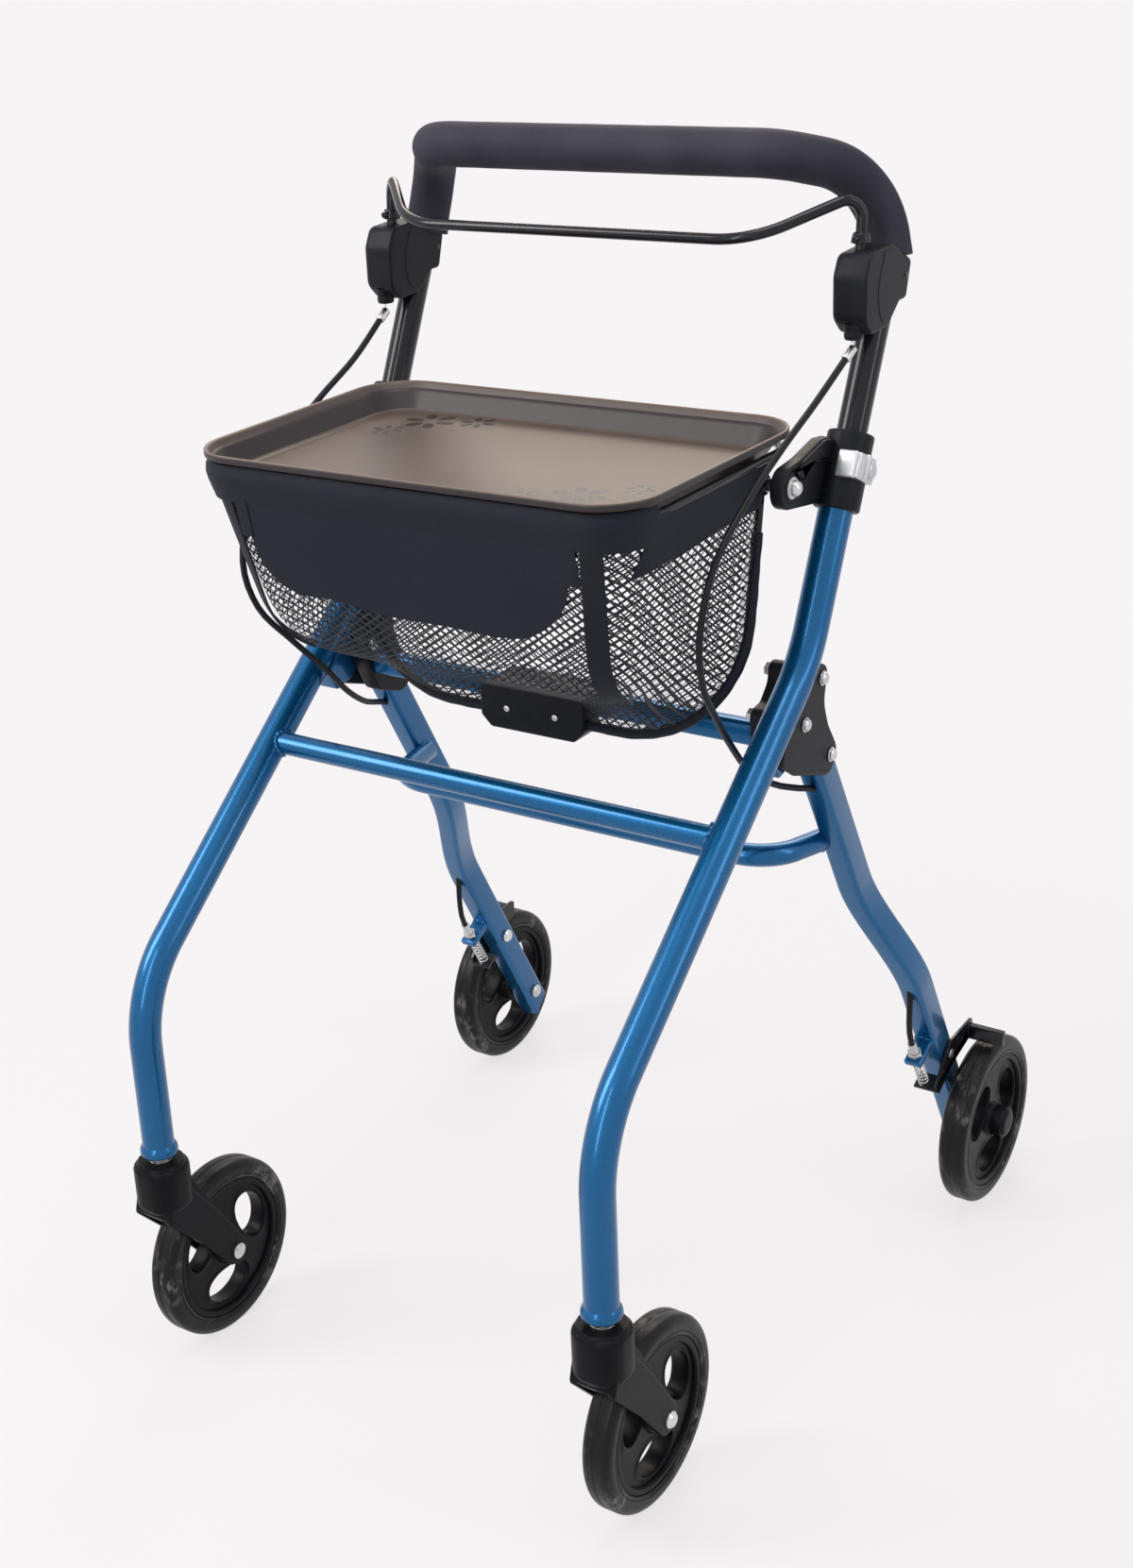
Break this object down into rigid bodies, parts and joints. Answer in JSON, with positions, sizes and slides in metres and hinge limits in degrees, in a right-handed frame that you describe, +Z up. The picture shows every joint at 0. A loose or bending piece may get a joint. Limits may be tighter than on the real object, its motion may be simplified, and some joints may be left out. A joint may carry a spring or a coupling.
{
  "type": "indoor rollator",
  "caption": "Folding indoor walking frame on wheels with a height-adjustable U handle, a squeeze brake bar, a serving tray and a mesh basket that swings up.",
  "frame": {"origin": "on the floor under the middle of the whole frame's box", "axes": "+Z up; the user stands on the +Y side and walks towards -Y; +X is the user's left"},
  "size_m": [0.557, 0.6452, 0.9363],
  "materials": {
    "blue_paint": "glossy metallic paint",
    "black_plastic": "fine moulded texture",
    "black_paint": "gloss black paint",
    "foam": "closed-cell foam skin",
    "steel": "zinc plated",
    "zinc_block": "satin cast metal",
    "tyre": "worn matt rubber",
    "tray_plastic": "satin, slightly grained",
    "bag_fabric": "woven panel and open mesh",
    "cable": "smooth sheath"
  },
  "bodies": {
    "front_frame": {"front_cross_tube": "blue_paint", "upper_cross_tube": "blue_paint", "main_tube_left": "blue_paint", "main_tube_right": "blue_paint", "hinge_shell_outer_left": "black_plastic", "hinge_shell_outer_right": "black_plastic", "hinge_shell_inner_left": "black_plastic", "hinge_shell_inner_right": "black_plastic", "hinge_bolt_top_left": "steel", "hinge_bolt_top_right": "steel", "hinge_bolt_middle_left": "steel", "hinge_bolt_middle_right": "steel", "leg_pivot_bolt_left": "steel", "leg_pivot_bolt_right": "steel", "height_collar_left": "black_plastic", "height_collar_right": "black_plastic", "clamp_block_left": "zinc_block", "clamp_block_right": "zinc_block", "basket_pivot_bolt_left": "steel", "basket_pivot_bolt_right": "steel", "caster_stem_left": "steel", "caster_stem_right": "steel", "brake_cable_left": "cable", "brake_cable_right": "cable"},
    "rear_frame": {"rear_cross_tube": "blue_paint", "rear_leg_left": "blue_paint", "rear_leg_right": "blue_paint", "rear_axle_bolt_left": "steel", "rear_axle_bolt_right": "steel", "brake_pivot_bolt_left": "steel", "brake_pivot_bolt_right": "steel", "cable_adjuster_left": "steel", "cable_adjuster_right": "steel", "brake_spring_left": "steel", "brake_spring_right": "steel"},
    "handle": {"handle_tube": "black_paint", "grip_foam": "foam", "brake_housing_left": "black_plastic", "brake_housing_right": "black_plastic"},
    "brake_lever": {"brake_bar": "black_paint"},
    "basket": {"basket_wire": "black_paint", "basket_bag": "bag_fabric", "hook_bracket": "black_plastic"},
    "tray": {"tray": "tray_plastic"},
    "caster_left": {"caster_fork_left": "black_plastic", "caster_axle_bolt_left": "steel"},
    "caster_wheel_left": {"caster_wheel_core_left": "black_plastic", "caster_tyre_left": "tyre"},
    "rear_wheel_left": {"rear_wheel_core_left": "black_plastic", "rear_tyre_left": "tyre"},
    "brake_arm_left": {"brake_arm_left": "black_paint"},
    "height_button_left": {"height_button_left": "steel"},
    "caster_right": {"caster_fork_right": "black_plastic", "caster_axle_bolt_right": "steel"},
    "caster_wheel_right": {"caster_wheel_core_right": "black_plastic", "caster_tyre_right": "tyre"},
    "rear_wheel_right": {"rear_wheel_core_right": "black_plastic", "rear_tyre_right": "tyre"},
    "brake_arm_right": {"brake_arm_right": "black_paint"},
    "height_button_right": {"height_button_right": "steel"}
  },
  "joints": [
    {"name": "rear_fold", "type": "hinge", "parent": "front_frame", "child": "rear_frame", "pos_m": [0, 0.01785, 0.497], "axis": [-1, 0, 0], "range_deg": [0, 48], "deforming": ["brake_cable_left", "brake_cable_right"]},
    {"name": "handle_height", "type": "slide", "parent": "front_frame", "child": "handle", "axis": [0, 0.4327, 0.9015], "range_m": [-0.05, 0.05], "deforming": ["brake_cable_left", "brake_cable_right"]},
    {"name": "brake_squeeze", "type": "hinge", "parent": "handle", "child": "brake_lever", "pos_m": [0, 0.07735, 0.824], "axis": [-1, 0, 0], "range_deg": [0, 22], "stiffness_Nm_per_rad": 1, "springref_deg": -11.46},
    {"name": "basket_swing", "type": "hinge", "parent": "front_frame", "child": "basket", "pos_m": [0, -0.01065, 0.705], "axis": [-1, 0, 0], "range_deg": [0, 85]},
    {"name": "tray_lift", "type": "slide", "parent": "basket", "child": "tray", "axis": [0, 0, 1], "range_m": [0, 0.1]},
    {"name": "caster_swivel_left", "type": "hinge", "parent": "front_frame", "child": "caster_left", "pos_m": [0.205, -0.30265, 0.165], "axis": [0, 0, 1], "continuous": true},
    {"name": "caster_wheel_spin_left", "type": "hinge", "parent": "caster_left", "child": "caster_wheel_left", "pos_m": [0.205, -0.24665, 0.075], "axis": [1, 0, 0], "continuous": true},
    {"name": "rear_wheel_spin_left", "type": "hinge", "parent": "rear_frame", "child": "rear_wheel_left", "pos_m": [0.2555, 0.24765, 0.075], "axis": [1, 0, 0], "continuous": true},
    {"name": "brake_arm_turn_left", "type": "hinge", "parent": "rear_frame", "child": "brake_arm_left", "pos_m": [0.2398, 0.20326, 0.15651], "axis": [-1, 0, 0], "range_deg": [0, 5.3], "deforming": ["brake_spring_left"]},
    {"name": "height_button_press_left", "type": "slide", "parent": "front_frame", "child": "height_button_left", "axis": [-1, 0, 0], "range_m": [0, 0.003], "stiffness_N_per_m": 600, "springref_m": -0.002},
    {"name": "caster_swivel_right", "type": "hinge", "parent": "front_frame", "child": "caster_right", "pos_m": [-0.205, -0.30265, 0.165], "axis": [0, 0, 1], "continuous": true},
    {"name": "caster_wheel_spin_right", "type": "hinge", "parent": "caster_right", "child": "caster_wheel_right", "pos_m": [-0.205, -0.24665, 0.075], "axis": [1, 0, 0], "continuous": true},
    {"name": "rear_wheel_spin_right", "type": "hinge", "parent": "rear_frame", "child": "rear_wheel_right", "pos_m": [-0.2555, 0.24765, 0.075], "axis": [1, 0, 0], "continuous": true},
    {"name": "brake_arm_turn_right", "type": "hinge", "parent": "rear_frame", "child": "brake_arm_right", "pos_m": [-0.2398, 0.20326, 0.15651], "axis": [-1, 0, 0], "range_deg": [0, 5.3], "deforming": ["brake_spring_right"]},
    {"name": "height_button_press_right", "type": "slide", "parent": "front_frame", "child": "height_button_right", "axis": [1, 0, 0], "range_m": [0, 0.003], "stiffness_N_per_m": 600, "springref_m": -0.002}
  ],
  "couplings": [
    {"joint": "brake_arm_turn_left", "follows": "brake_squeeze", "ratio": 0.24},
    {"joint": "brake_arm_turn_right", "follows": "brake_squeeze", "ratio": 0.24}
  ]
}
